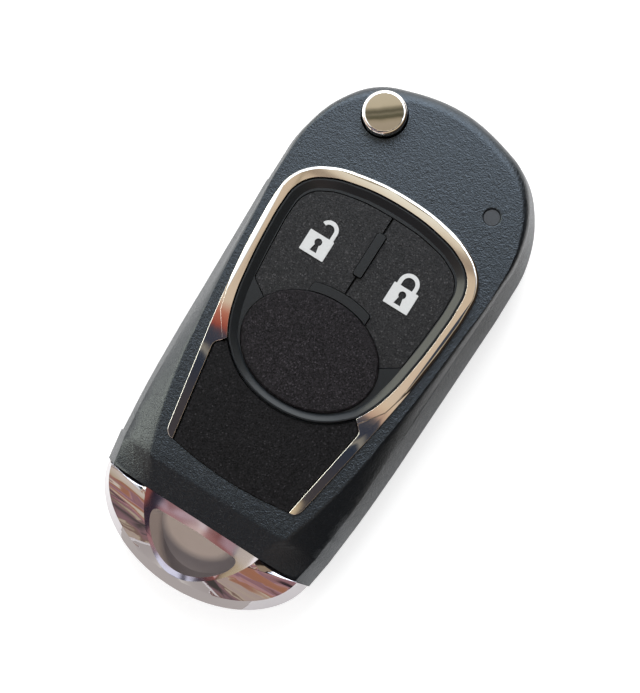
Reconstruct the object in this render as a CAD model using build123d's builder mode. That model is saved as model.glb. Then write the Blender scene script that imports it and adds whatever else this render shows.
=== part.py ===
from build123d import *
import math
import os

os.makedirs("parts", exist_ok=True)

# Flip key shell: a two-part moulded case with a folding blade, in millimetres.
# It lies on its back: +Z comes out of the button face, +Y points to the pivot
# end, +X is the right-hand side seen from the front.

# Case outline at the parting plane, with the outward normal at each station,
# from the top centre down the right-hand side
head_y = 40.0
case_end_y = -29.4
outline_stations = [
    (0.0, head_y, 0.0, 1.0),
    (7.0, 38.95, 0.25, 0.97),
    (12.9, 36.5, 0.55, 0.84),
    (17.2, 31.4, 0.86, 0.51),
    (19.3, 25.6, 0.98, 0.2),
    (19.65, 19.0, 1.0, 0.0),
    (19.45, 10.0, 1.0, 0.0),
    (19.15, 0.0, 1.0, 0.0),
    (18.85, -10.0, 1.0, 0.0),
    (18.4, -18.0, 1.0, 0.0),
    (17.75, -25.2, 1.0, 0.0),
    (17.1, case_end_y, 1.0, 0.0),
]
# How far the front stands in from that outline, at the shoulder and at the face
shoulder_inset = [0.9, 0.9, 0.9, 1.1, 1.4, 1.6, 1.65, 1.7, 1.7, 1.65, 1.75, 1.9]
face_inset = [3.1, 3.1, 3.0, 2.6, 2.3, 2.15, 2.55, 3.05, 4.1, 5.3, 6.9, 13.7]
back_inset = 1.9
# How soft the rounding between the two is: 1 a full round, 0 a flat bevel
face_softness = [1.0, 1.0, 1.0, 1.0, 0.9, 0.7, 0.45, 0.3, 0.2, 0.15, 0.1, 0.0]

# Levels above the table
parting_z = 6.6
shoulder_z = 11.2
face_z = 14.2
pocket_floor_z = 12.9
ceiling_z = 12.0
floor_z = 1.5
round_steps = [0.0, 0.3, 0.55, 0.75, 0.9, 1.0]
back_round = 1.6
ramp_start_y = -25.2
ramp_end_z = 12.7

# Trim outlines on the face, right-hand side from the top centre down
bezel_top_y = 24.1
bezel_side = [
    (6.27, 23.58), (11.05, 22.24), (13.58, 20.68), (14.87, 19.2), (15.66, 17.4), (15.92, 14.4),
    (15.72, 9.4), (15.26, 4.4), (14.62, -0.5), (13.82, -5.45), (12.95, -10.2),
]
leg_foot = (11.1, -20.2)
foot_corner = [(10.75, -21.15), (9.95, -21.7)]
panel_low = (5.5, -22.3)
panel_bottom_y = -22.6
frame_top_y = 22.32
frame_side = [
    (5.99, 21.8), (10.3, 20.57), (12.45, 19.25), (13.4, 18.1), (13.98, 16.7), (14.21, 14.2),
    (14.04, 9.5), (13.54, 4.6), (12.71, -0.25), (11.83, -3.1),
]
frame_low = [(10.42, -5.85), (6.55, -8.95), (0.0, -10.45)]
bead_crease = [(14.75, 1.3), (13.5, -3.1), (11.0, -6.5)]
panel_side = [(10.1, -5.7), (11.85, -7.35), (9.42, -21.6)]
panel_round = 1.0
bezel_top_z = 15.2
leg_top_z = 14.55
bead_soft_r = 0.5
panel_top_z = 14.35
panel_gap = 0.18
ring_gap = 0.3
bead_gap = 0.18
trim_gap = 0.04

# Oval plate in the middle, and the ring of the frame below it
plate_centre_y = -1.37
plate_rx = 10.2
plate_ry = 7.85
plate_gap = 0.12
plate_top_z = 14.75
plate_seat_z = 13.3
plate_edge = 0.25

# Buttons
button_top_y = 20.5
button_side = [
    (5.73, 20.12), (9.6, 19.06), (11.7, 17.65), (12.5, 16.25), (12.76, 14.0), (12.55, 9.5), (12.0, 3.4),
]
button_corner = (9.4, 1.7)
button_corner_r = 0.7
button_gap = 0.13
button_split = 0.3
button_top_z = 14.3
button_plate_z = 13.1
button_foot_z = 11.9
button_edge = 0.2
lip_w = 0.5
lip_top_z = 12.8
bar_w = 1.3
bar_round = 0.35
bump_round = 0.4
bar_ends_y = (10.95, 17.8)
bump_w = 9.2
bump_h = 1.3
island_top_z = 14.6
frame_rim_z = 14.9
frame_low_z = 14.2
crest_in = 0.2
slope_in = 1.2
web_w = 1.6
web_z = (12.0, 12.6)
seat_ledge_w = 0.6

# Padlock marks inlaid in the buttons: body, keyhole and shackle
icon_t = 0.3
icon_round = 0.1
keyhole_r = 0.55
keyhole_w = (0.44, 1.05)
keyhole_h = 1.5
shackle_w = 0.6
unlock_box = (-9.0, -5.15, 10.1, 13.3)
unlock_keyhole = (-7.09, 12.2)
unlock_shackle_x = (-7.85, -5.65)
unlock_bend_y = 14.4
lock_box = (4.9, 8.8, 9.95, 13.15)
lock_keyhole = (6.82, 12.04)
lock_shackle_x = (5.55, 8.0)
lock_bend_y = 13.8

# Pivot: hub, sprung release button and blade
pivot_x = -8.8
pivot_y = 32.4
blade_z = 6.2
hub_disc_r = 5.4
hub_disc_t = 3.6
hub_top_r = 4.3
hub_top_z = 10.3
hub_foot_r = 3.2
hub_foot_z = 2.0
run_gap = 0.1
arm_side = (0.2, 8.6)
arm_start = 5.0
arm_end = 13.5
arm_round = 0.6
slot_gap = 0.3
blade_side = (0.4, 8.4)
blade_t = 2.2
blade_root = 6.0
blade_root_w = 6.0
blade_tip = 57.0
blade_point = (2.6, 3.0)
blade_groove_w = 1.6
blade_groove_d = 0.6
blade_groove_at = (3.0, 5.8)
blade_groove_start = 16.0
blade_slot_h = 3.0
pin_r = 0.75
pin_at = 9.6
release_r = 3.2
release_skirt_r = 3.0
release_skirt_z = (6.0, 9.0)
release_bore_top_z = 12.5
release_bore_r = 2.2
release_top_z = 16.1
release_soft_r = 0.5
release_gap = 0.2
lug_r = 3.75
lug_w = 2.6
lug_z = (10.4, 11.4)
flat_w = 5.4
hub_bore_floor_z = 4.1
hub_flats_top_z = 7.3
hub_round_top_z = 8.7
spring_r = 1.75
spring_wire_r = 0.3
spring_turns = 4

# End cap with the key-ring hole
cap_rx = 17.0
cap_ry = 11.8
cap_centre_y = -28.2
cap_top_z = 12.55
cap_top_slope = 0.19
cap_shoulder_z = 11.0
cap_shoulder_slope = 0.2
cap_shoulder_inset = 1.4
cap_bottom_z = 1.0
cap_round = 1.6
cap_joint_gap = 0.05
rim_out = [(7.6, -33.0), (5.6, -35.4)]
rim_tip_y = -38.2
rim_start_x = 9.3
ring_hole_top_y = -30.9
ring_hole_corner = (6.9, -32.2)
ring_hole_low = (5.0, -35.1)
ring_hole_tip_y = -37.2
tongue = (15.6, 5.9, 3.0)
tongue_gap = 0.15

# Fasteners and inside
screw_places = [(0.0, -26.3), (9.6, 33.6)]
screw_r = 0.9
screw_head_r = 1.7
screw_head_h = 1.3
screw_top_z = 10.8
recess_size = (2.0, 0.45)
recess_depth = 0.7
peg_places = [(15.6, 20.0), (15.0, -19.0)]
peg_r = 0.8
peg_h = 1.6
inner_wall_x = -8.2
cavity_right_x = 13.2
cavity_low_y = -21.6
cavity_high_y = 25.0
head_room = (3.8, 14.0, 30.6)
board_t = 0.8
board_seat_z = 8.8
board_gap = 0.25
board_post_r = 1.0
board_posts = [(-6.4, 21.6), (11.4, 21.6), (-6.6, -19.8), (9.2, -19.8)]
switch_places = [(-7.2, 12.4), (7.2, 12.4)]
switch_size = 4.2
switch_h = 1.0
plunger_r = 0.9
plunger_h = 0.3
pad_t = 0.5
pad_rim_w = 0.8
pad_box = (-11.8, 11.8, -5.5, 21.8)
pad_round = 3.0
cell_r = 10.0
cell_h = 3.2
cell_place = (2.55, -7.0)
cell_foot_z = 5.1
contact_t = 0.2
contact_w = 5.0
contact_end_y = 4.5
clip_size = (9.0, 6.0)
clip_leg_w = 1.2
cell_foot_r = 8.8
cell_foot_h = 0.3
rib_t = 1.0
cell_gap = 0.2
remote_chip_size = (5.0, 6.0, 1.1)
remote_chip_place = (0.0, -12.5)
led_size = (2.0, 1.2, 0.7)
lens_place = (11.6, 27.9)
lens_r = 1.15
lens_sink = 0.3
lens_flange_r = 1.7
lens_flange_z = (11.3, 12.0)
lens_stem_r = 1.0
chip_size = (6.0, 11.0, 3.0)
chip_edge = 0.5
chip_place = (9.2, 14.0)


def tangent_at(points, i):
    """Direction of a run of points at one of them, from its neighbours."""
    here = Vector(*points[i])
    arriving = here - Vector(*points[max(i - 1, 0)])
    leaving = Vector(*points[min(i + 1, len(points) - 1)]) - here
    return arriving.normalized() * leaving.length + leaving.normalized() * arriving.length


def smooth_run(points, start, end):
    """Tangent arcs through the points, two to each gap, with given end directions."""
    inner = [tangent_at(points, i).normalized() for i in range(1, len(points) - 1)]
    directions = [Vector(*start).normalized(), *inner, Vector(*end).normalized()]
    for i in range(len(points) - 1):
        p, q = Vector(*points[i]), Vector(*points[i + 1])
        u, v = directions[i], directions[i + 1]
        gap = q - p
        along = gap.dot(u + v)
        spread = 2 * (1 - u.dot(v))
        if spread < 1e-9:
            reach = gap.dot(gap) / (2 * along)
        else:
            reach = (math.sqrt(along ** 2 + 2 * spread * gap.dot(gap) / 2) - along) / spread
        joint = (p + q + (u - v) * reach) * 0.5
        first = TangentArc(p, joint, tangent=u)
        TangentArc(joint, q, tangent=first % 1)


def outline_points(insets):
    """Right-hand case outline, moved in along its normals."""
    return [(x - nx * d, y - ny * d) for (x, y, nx, ny), d in zip(outline_stations, insets)]


def level(inset):
    """The same inset at every station of the case outline."""
    return [inset] * len(outline_stations)


def case_sketch(insets, z, end_y=case_end_y):
    """The closed case outline at one level, mirrored about the centre line."""
    points = outline_points(insets)
    points[-1] = (points[-1][0], end_y)
    with BuildSketch(Plane.XY.offset(z)) as face:
        with BuildLine():
            ending = Vector(*points[-2]) - Vector(*points[-3])
            smooth_run(points[:-1], (1, 0), (ending.X, ending.Y))
            Polyline(points[-2], points[-1], (0, end_y))
            mirror(about=Plane.YZ)
        make_face()
    return face.sketch


def grown(points, amount):
    """A run of outline points moved outwards; it starts at the top and goes clockwise."""
    moved = []
    for i, (x, y) in enumerate(points):
        before = points[max(i - 1, 0)]
        after = points[min(i + 1, len(points) - 1)]
        run_x, run_y = after[0] - before[0], after[1] - before[1]
        if abs(x) < 1e-6:
            run_x, run_y = (1, 0) if y > plate_centre_y else (-1, 0)
        length = math.hypot(run_x, run_y)
        moved.append((x - amount * run_y / length, y + amount * run_x / length))
    return moved


def bezel_outline(grow=0.0):
    """Outer outline of the bezel, its two legs and the lower panel."""
    side = [(0, bezel_top_y), *bezel_side, leg_foot, *foot_corner, panel_low, (0, panel_bottom_y)]
    *upper, foot, corner, corner_end, low, bottom = grown(side, grow)
    with BuildSketch() as face:
        with BuildLine():
            smooth_run([*upper, foot], (1, 0), (-0.19, -1))
            smooth_run([foot, corner, corner_end], (-0.19, -1), (-1, -0.13))
            smooth_run([corner_end, low, bottom], (-1, -0.13), (-1, 0))
            mirror(about=Plane.YZ)
        make_face()
    return face.sketch


def frame_outline(grow=0.0):
    """Outline of the dark frame: inside the bezel's bead, round below the plate."""
    side = grown([(0, frame_top_y), *frame_side, *frame_low], grow)
    with BuildSketch() as face:
        with BuildLine():
            smooth_run(side[:-2], (1, 0), (-0.62, -1))
            smooth_run(side[-3:], (-1, -1.1), (-1, 0))
            mirror(about=Plane.YZ)
        make_face()
    return face.sketch


def panel_zone(grow=0.0):
    """Everything between the legs and below them."""
    tip, corner, foot = grown(panel_side, grow)
    end = (foot[0] - 0.1, foot[1] - 4)
    with BuildSketch() as face:
        with BuildLine():
            Polyline((0, tip[1] + 3), (tip[0] - 3, tip[1] + 3), tip, corner, foot, end, (0, end[1]))
            mirror(about=Plane.YZ)
        make_face()
        corners = face.vertices().filter_by(lambda v: abs(v.Y - corner[1]) < 0.001)
        fillet(corners, panel_round + grow)
    return face.sketch


def panel_outline():
    """Lower panel between the legs, under the frame's ring."""
    with BuildSketch() as face:
        add(panel_zone())
        add(bezel_outline(), mode=Mode.INTERSECT)
        add(frame_outline(ring_gap), mode=Mode.SUBTRACT)
    return face.sketch


def quarter_round(t):
    """Height t of a quarter round, 0 to 1, to how far it has come inwards."""
    return 1 - math.sqrt(1 - t * t)


def front_insets(t):
    """Insets between the shoulder and the face, t of the way up."""
    return [
        low + (high - low) * ((1 - soft) * t + soft * quarter_round(t))
        for low, high, soft in zip(shoulder_inset, face_inset, face_softness)
    ]


def stack(sketches):
    """Ruled bands between neighbouring sketches, inside a part block."""
    for below, above in zip(sketches, sketches[1:]):
        loft([below.face(), above.face()], ruled=True)


def round_bar(x, y, r, z_low, z_high, mode=Mode.ADD):
    """An upright cylinder between two levels, inside a part block."""
    with BuildSketch(Plane.XY.offset(z_low)) as face:
        with Locations((x, y)):
            Circle(r)
    extrude(face.sketch, amount=z_high - z_low, mode=mode)


def block(x_low, x_high, y_low, y_high, z_low, z_high, mode=Mode.ADD):
    """A rectangular block given by its limits, inside a part block."""
    with BuildSketch(Plane.XY.offset(z_low)) as face:
        with Locations(((x_low + x_high) / 2, (y_low + y_high) / 2)):
            Rectangle(x_high - x_low, y_high - y_low)
    extrude(face.sketch, amount=z_high - z_low, mode=mode)


def prism(sketch, z_low, z_high, mode=Mode.ADD):
    """A sketch drawn at z = 0, extruded between two levels, inside a part block."""
    extrude(Plane.XY.offset(z_low) * sketch, amount=z_high - z_low, mode=mode)


def arm_corners(grow):
    """Outline of the hub's arm, folded, with its far side as far out as the blade."""
    outer = pivot_x - arm_side[1] - grow
    inner = pivot_x - arm_side[0] + grow
    return [
        (pivot_x - hub_disc_r - grow, pivot_y),
        (outer, pivot_y - arm_start),
        (outer, pivot_y - arm_end - grow),
        (inner, pivot_y - arm_end - grow),
        (inner, pivot_y),
    ]


def swing_room(reach):
    """Everything that the folded blade and its arm pass on their way out and round."""
    outside = 2 * head_y
    blade_inner = pivot_x - blade_side[0] + slot_gap
    far_side = pivot_x + arm_side[1] + slot_gap
    with BuildSketch() as room:
        with BuildLine():
            Polyline(
                (blade_inner, pivot_y),
                (blade_inner, reach),
                (-outside, reach),
                (-outside, outside),
                (far_side, outside),
                (far_side, pivot_y + arm_start),
                (pivot_x + hub_disc_r + slot_gap, pivot_y),
                close=True,
            )
        make_face()
        with Locations((pivot_x, pivot_y)):
            Circle(hub_disc_r + slot_gap)
    return room.sketch


def board_outline(grow=0.0, low=cavity_low_y):
    """Outline of the circuit board: full width under the buttons, one tab at the head."""
    left_high = -14.0
    left_low = -10.4
    tab_left, tab_right, tab_top = head_room
    with BuildSketch() as face:
        with BuildLine():
            Polyline(
                (left_high, cavity_high_y),
                (left_high, 8.0),
                (left_low, low),
                (-left_low, low),
                (tab_right, 8.0),
                (tab_right, tab_top),
                (tab_left, tab_top),
                (tab_left, cavity_high_y),
                close=True,
            )
        make_face()
        fillet(face.vertices(), 0.8)
        if grow:
            offset(amount=grow)
    return face.sketch


def cap_outline(inset, plane):
    """The end cap's outline on a level or tilted plane, moved in by an inset."""
    joint_y = case_end_y - cap_joint_gap
    with BuildSketch(plane) as face:
        with Locations((0, cap_centre_y - plane.origin.Y)):
            Ellipse(cap_rx - inset, cap_ry - inset)
        with Locations((0, joint_y - plane.origin.Y)):
            Rectangle(3 * cap_rx, 3 * cap_ry, align=(Align.CENTER, Align.MIN), mode=Mode.SUBTRACT)
    return face.sketch


def sloping_plane(z, slope):
    """A plane that starts at the case's end and falls towards the tip."""
    return Plane(origin=(0, case_end_y, z), x_dir=(1, 0, 0), z_dir=(0, -slope, 1))


def cap_rim(plane):
    """The raised facet round the ring hole."""
    start = (rim_start_x, -cap_joint_gap)
    points = [(x, y - case_end_y) for x, y in rim_out]
    with BuildSketch(plane) as face:
        with BuildLine():
            smooth_run([start, *points, (0, rim_tip_y - case_end_y)], (-0.3, -1), (-1, 0))
            Line(start, (0, start[1]))
            mirror(about=Plane.YZ)
        make_face()
    return face.sketch


def ring_hole():
    """Outline of the hole for the key ring."""
    corner_x = ring_hole_corner[0]
    with BuildSketch() as face:
        with BuildLine():
            Line((0, ring_hole_top_y), (corner_x, ring_hole_top_y - 0.3))
            Line((corner_x, ring_hole_top_y - 0.3), ring_hole_corner)
            smooth_run([ring_hole_corner, ring_hole_low, (0, ring_hole_tip_y)], (-0.25, -1), (-1, 0))
            mirror(about=Plane.YZ)
        make_face()
        fillet(face.vertices().group_by(Axis.Y)[-2], 0.7)
    return face.sketch


def plate_outline(grow=0.0):
    """The oval plate's outline."""
    with BuildSketch() as face:
        with Locations((0, plate_centre_y)):
            Ellipse(plate_rx + grow, plate_ry + grow)
    return face.sketch


def button_field(grow=0.0):
    """Both buttons together, above the oval plate."""
    with BuildSketch() as face:
        with BuildLine():
            *side, corner = grown([(0, button_top_y), *button_side, button_corner], grow)
            smooth_run(side, (1, 0), (-0.1, -1))
            Polyline(side[-1], corner, (0, corner[1]))
            mirror(about=Plane.YZ)
        make_face()
        corners = face.vertices().filter_by(lambda v: abs(abs(v.X) - side[-1][0]) < 0.01)
        fillet(corners, button_corner_r)
        add(plate_outline(plate_gap), mode=Mode.SUBTRACT)
    return face.sketch


def islands(grow=0.0):
    """The raised bar between the buttons and the bump over the oval plate."""
    bar_low, bar_high = bar_ends_y
    with BuildSketch() as face:
        with Locations((0, (bar_low + bar_high) / 2)):
            RectangleRounded(bar_w + 2 * grow, bar_high - bar_low + 2 * grow, bar_round + grow)
        with BuildSketch(mode=Mode.PRIVATE) as bump:
            add(plate_outline(plate_gap + bump_h + grow))
            with Locations((0, 0)):
                Rectangle(
                    bump_w + 2 * grow, 3 * plate_ry,
                    align=(Align.CENTER, Align.MIN), mode=Mode.INTERSECT,
                )
            fillet(bump.vertices().group_by(Axis.Y)[-1], bump_round + grow)
            add(plate_outline(plate_gap - grow), mode=Mode.SUBTRACT)
        add(bump.sketch)
    return face.sketch


def one_button(side, grow=0.0, clear=0.0):
    """One button's outline: side is 1 for the right-hand one, -1 for the left."""
    with BuildSketch() as face:
        add(button_field(grow))
        add(islands(button_gap + clear), mode=Mode.SUBTRACT)
        inner = button_split / 2 + clear
        with Locations((side * inner, 0)):
            Rectangle(
                2 * bezel_top_y, 4 * bezel_top_y,
                align=(Align.MIN if side > 0 else Align.MAX, Align.CENTER), mode=Mode.INTERSECT,
            )
        if clear:
            add(plate_outline(clear), mode=Mode.SUBTRACT)
    return face.sketch


def bead_zone():
    """The part of the bezel above the crease where the flat legs start."""
    low_y = bead_crease[-1][1]
    with BuildSketch() as face:
        with BuildLine():
            Polyline(
                (0, 2 * bezel_top_y), (2 * bezel_top_y, 2 * bezel_top_y),
                (2 * bezel_top_y, bead_crease[0][1] + 1.5), *bead_crease, (0, low_y), (0, 2 * bezel_top_y),
            )
        make_face()
        mirror(about=Plane.YZ)
    return face.sketch


def around(place, size):
    """Limits in x and y of a block centred on a place."""
    x, y = place
    return x - size[0] / 2, x + size[0] / 2, y - size[1] / 2, y + size[1] / 2


def double_flat(r, width, grow):
    """A circle with two flats on the pivot axis."""
    with BuildSketch() as face:
        with Locations((pivot_x, pivot_y)):
            Circle(r + grow)
            Rectangle(width + 2 * grow, 4 * r, mode=Mode.INTERSECT)
    return face.sketch


def switch(x, y):
    """One tactile switch on the board, inside a part block."""
    block(*around((x, y), (switch_size, switch_size)), board_z[1], board_z[1] + switch_h)
    round_bar(x, y, plunger_r, board_z[1] + switch_h, plunger_top_z)


def screw(x, y):
    """One case screw, inside a part block."""
    round_bar(x, y, screw_head_r, screw_head_z[0], screw_head_z[1])
    round_bar(x, y, screw_r, screw_head_z[1], screw_top_z)
    for turn in (0, 90):
        with BuildSketch(Plane.XY.offset(screw_head_z[0])) as recess:
            with Locations((x, y)):
                Rectangle(*recess_size, rotation=turn)
        extrude(recess.sketch, amount=recess_depth, mode=Mode.SUBTRACT)


def button_body(side, icon):
    """One button inside a part block: plate with an inlay seat, neck and holding lip."""
    prism(one_button(side), button_plate_z, button_top_z - button_edge)
    prism(one_button(side, 0, seat_clear), lip_top_z, button_plate_z)
    prism(one_button(side, lip_w, seat_clear), button_foot_z, lip_top_z)
    extrude(Plane.XY.offset(button_top_z - button_edge) * one_button(side), amount=button_edge, taper=45)
    prism(icon, button_top_z - icon_t, button_top_z, Mode.SUBTRACT)


def padlock(body, keyhole, shackle_x, shackle_base, end_angle):
    """A padlock mark: body with a keyhole, and a shackle that ends at an angle."""
    left, right, low, high = body
    hole_x, hole_y = keyhole
    shackle_left, shackle_right = shackle_x
    bend_r = (shackle_right - shackle_left) / 2
    bend_x = (shackle_left + shackle_right) / 2
    with BuildSketch() as mark:
        with Locations(((left + right) / 2, (low + high) / 2)):
            RectangleRounded(right - left, high - low, icon_round)
        with BuildSketch(mode=Mode.PRIVATE) as hole:
            with Locations((hole_x, hole_y)):
                Circle(keyhole_r)
            with BuildLine():
                Polyline(
                    (hole_x - keyhole_w[0] / 2, hole_y), (hole_x + keyhole_w[0] / 2, hole_y),
                    (hole_x + keyhole_w[1] / 2, hole_y - keyhole_h),
                    (hole_x - keyhole_w[1] / 2, hole_y - keyhole_h), close=True,
                )
            make_face()
        add(hole.sketch, mode=Mode.SUBTRACT)
        with BuildSketch(mode=Mode.PRIVATE) as loop:
            with BuildLine() as path:
                Line((shackle_right, high - 0.2), (shackle_right, shackle_base))
                CenterArc((bend_x, shackle_base), bend_r, 0, end_angle)
                if end_angle == 180:
                    Line((shackle_left, shackle_base), (shackle_left, high - 0.2))
            trace(path.line, line_width=shackle_w)
        add(loop.sketch)
    return mark.sketch


# Clearances that several pieces share
arm_slot_h = hub_disc_t + 2 * slot_gap
arm_room_y = pivot_y - arm_end - 2
tip_room_y = pivot_y - blade_tip - slot_gap
wide = 2 * head_y
tongue_half_w = tongue[0] / 2
tongue_top_y = case_end_y + tongue[1]
tongue_z = (parting_z - tongue[2] / 2, parting_z + tongue[2] / 2)
screw_clear_r = screw_r + 0.15
board_z = (board_seat_z, board_seat_z + board_t)
plunger_top_z = board_z[1] + switch_h + plunger_h
cell_x, cell_y = cell_place
cell_top_z = cell_foot_z + cell_h
seat_clear = 0.9
screw_head_z = (0.2, screw_head_h + 0.2)
hub_arm_z = (blade_z - hub_disc_t / 2, blade_z + hub_disc_t / 2)
blade_z_range = (blade_z - blade_t / 2, blade_z + blade_t / 2)
root_x = (
    pivot_x - (blade_side[0] + blade_side[1] + blade_root_w) / 2,
    pivot_x - (blade_side[0] + blade_side[1] - blade_root_w) / 2,
)
pin_place = ((root_x[0] + root_x[1]) / 2, pivot_y - pin_at)
unlock_mark = padlock(unlock_box, unlock_keyhole, unlock_shackle_x, unlock_bend_y, 155)
lock_mark = padlock(lock_box, lock_keyhole, lock_shackle_x, lock_bend_y, 180)

# Front half of the case: face, bevels, head, pocket for the trim, window for
# the buttons, bearing for the hub and slot for the blade
with BuildPart() as front_shell:
    stack([case_sketch(level(0.0), parting_z), case_sketch(shoulder_inset, shoulder_z)])
    stack([case_sketch(front_insets(t), shoulder_z + t * (face_z - shoulder_z)) for t in round_steps])
    # sloping end towards the cap
    with BuildSketch(Plane.YZ):
        with BuildLine():
            Polyline(
                (ramp_start_y, face_z), (case_end_y, ramp_end_z), (case_end_y - 1, ramp_end_z),
                (case_end_y - 1, face_z + 1), (ramp_start_y, face_z + 1), close=True,
            )
        make_face()
    extrude(amount=wide, both=True, mode=Mode.SUBTRACT)
    prism(bezel_outline(trim_gap), pocket_floor_z, face_z + 1, Mode.SUBTRACT)
    prism(frame_outline(-seat_ledge_w), ceiling_z - 1, face_z, Mode.SUBTRACT)
    # room for the board above the blade slot, and for the cell beside it
    prism(board_outline(board_gap), board_seat_z, ceiling_z, Mode.SUBTRACT)
    block(inner_wall_x, cavity_right_x, cavity_low_y, cavity_high_y, parting_z, board_seat_z, Mode.SUBTRACT)
    # blade slot, wider where the arm swings
    prism(swing_room(arm_room_y), parting_z, blade_z + arm_slot_h / 2, Mode.SUBTRACT)
    prism(swing_room(tip_room_y), parting_z, blade_z + blade_slot_h / 2, Mode.SUBTRACT)
    # hub bearing, groove for the release button's lugs, and its hole
    round_bar(pivot_x, pivot_y, hub_top_r + run_gap, parting_z, hub_top_z + run_gap, Mode.SUBTRACT)
    round_bar(pivot_x, pivot_y, lug_r + run_gap, hub_top_z, lug_z[1] + run_gap, Mode.SUBTRACT)
    round_bar(pivot_x, pivot_y, release_r + release_gap, hub_top_z, face_z + 2, Mode.SUBTRACT)
    # indicator window
    round_bar(*lens_place, lens_r + 0.05, ceiling_z - 1, face_z + 1, Mode.SUBTRACT)
    # slot for the end cap's tongue, screw pilots and peg sockets
    block(
        -tongue_half_w - tongue_gap, tongue_half_w + tongue_gap, case_end_y - 1, tongue_top_y + tongue_gap,
        parting_z, tongue_z[1] + tongue_gap, Mode.SUBTRACT,
    )
    for place in screw_places:
        round_bar(*place, screw_r, parting_z - 1, screw_top_z + 0.3, Mode.SUBTRACT)
    for place in peg_places:
        round_bar(*place, peg_r + run_gap, parting_z - 1, parting_z + peg_h + 0.2, Mode.SUBTRACT)
front_shell.part.label = "front_shell"
export_step(front_shell.part, "parts/front_shell.step")

# Rear half: drafted walls, rounded back edge, seats for cell, board and hub
with BuildPart() as rear_shell:
    back_levels = []
    for t in reversed(round_steps):
        z = back_round * (1 - t)
        drawn_in = back_inset * (1 - z / parting_z) + back_round * quarter_round(t)
        back_levels.append(case_sketch(level(drawn_in), z))
    stack(back_levels + [case_sketch(level(0.0), parting_z)])
    block(inner_wall_x, cavity_right_x, cavity_low_y, cavity_high_y, floor_z, parting_z, Mode.SUBTRACT)
    block(
        head_room[0] + rib_t, cavity_right_x, cavity_high_y - 1, head_room[2] - rib_t,
        floor_z, parting_z, Mode.SUBTRACT,
    )
    prism(swing_room(arm_room_y), blade_z - arm_slot_h / 2, parting_z, Mode.SUBTRACT)
    prism(swing_room(tip_room_y), blade_z - blade_slot_h / 2, parting_z, Mode.SUBTRACT)
    round_bar(pivot_x, pivot_y, hub_foot_r + run_gap, hub_foot_z - run_gap, parting_z, Mode.SUBTRACT)
    block(
        -tongue_half_w - tongue_gap, tongue_half_w + tongue_gap, case_end_y - 1, tongue_top_y + tongue_gap,
        tongue_z[0] - tongue_gap, parting_z, Mode.SUBTRACT,
    )
    # cell cup with two bars under the cell
    with BuildSketch(Plane.XY.offset(floor_z)) as cup:
        with Locations(cell_place):
            Circle(cell_r + cell_gap + rib_t)
            Circle(cell_r + cell_gap, mode=Mode.SUBTRACT)
        with Locations((cell_x, cell_y + cell_r)):
            Rectangle(contact_w + 1, 4 * rib_t, mode=Mode.SUBTRACT)
    extrude(cup.sketch, amount=parting_z - floor_z)
    for bar_y in (cell_y - cell_r / 2, cell_y + cell_r / 2):
        block(
            cell_x - cell_r / 2, cell_x + cell_r / 2, bar_y - rib_t / 2, bar_y + rib_t / 2,
            floor_z, cell_foot_z - contact_t,
        )
    # low wall round the transponder chip
    with BuildSketch(Plane.XY.offset(floor_z)) as fence:
        with Locations(chip_place):
            Rectangle(chip_size[0] + 2 * (rib_t + 0.2), chip_size[1] + 2 * (rib_t + 0.2))
            Rectangle(chip_size[0] + 0.4, chip_size[1] + 0.4, mode=Mode.SUBTRACT)
    extrude(fence.sketch, amount=chip_size[2] / 2)
    # posts under the board, pegs, screw holes with sunk heads
    for place in board_posts:
        round_bar(*place, board_post_r, floor_z, board_seat_z)
    for place in peg_places:
        round_bar(*place, peg_r, parting_z, parting_z + peg_h)
    for place in screw_places:
        round_bar(*place, screw_clear_r, -1, parting_z + 1, Mode.SUBTRACT)
        round_bar(*place, screw_head_r + 0.2, -1, screw_head_h + 0.2, Mode.SUBTRACT)
rear_shell.part.label = "rear_shell"
export_step(rear_shell.part, "parts/rear_shell.step")

# Screws from the back, with a cross recess in each head
with BuildPart() as lower_screw:
    screw(*screw_places[0])
lower_screw.part.label = "lower_screw"
export_step(lower_screw.part, "parts/lower_screw.step")

with BuildPart() as head_screw:
    screw(*screw_places[1])
head_screw.part.label = "head_screw"
export_step(head_screw.part, "parts/head_screw.step")

# Plated end cap: faceted front, rounded back, key-ring hole, tongue into the case
with BuildPart() as end_cap:
    cap_levels = []
    for t in reversed(round_steps):
        z = cap_bottom_z + cap_round * (1 - t)
        drawn_in = 1.0 * (1 - (z - cap_bottom_z) / (parting_z - cap_bottom_z)) + cap_round * quarter_round(t)
        cap_levels.append(cap_outline(drawn_in, Plane.XY.offset(z)))
    stack(cap_levels + [cap_outline(0, Plane.XY.offset(parting_z))])
    shoulder_plane = sloping_plane(cap_shoulder_z, cap_shoulder_slope)
    stack([
        cap_outline(0, Plane.XY.offset(parting_z)),
        cap_outline(cap_shoulder_inset, shoulder_plane),
        cap_rim(sloping_plane(cap_top_z, cap_top_slope)),
    ])
    block(
        -tongue_half_w, tongue_half_w, case_end_y - 2, tongue_top_y, tongue_z[0], tongue_z[1],
    )
    prism(ring_hole(), cap_bottom_z - 1, cap_top_z + 1, Mode.SUBTRACT)
    round_bar(*screw_places[0], screw_clear_r, 0, parting_z + 5, Mode.SUBTRACT)
end_cap.part.label = "end_cap"
export_step(end_cap.part, "parts/end_cap.step")

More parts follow.
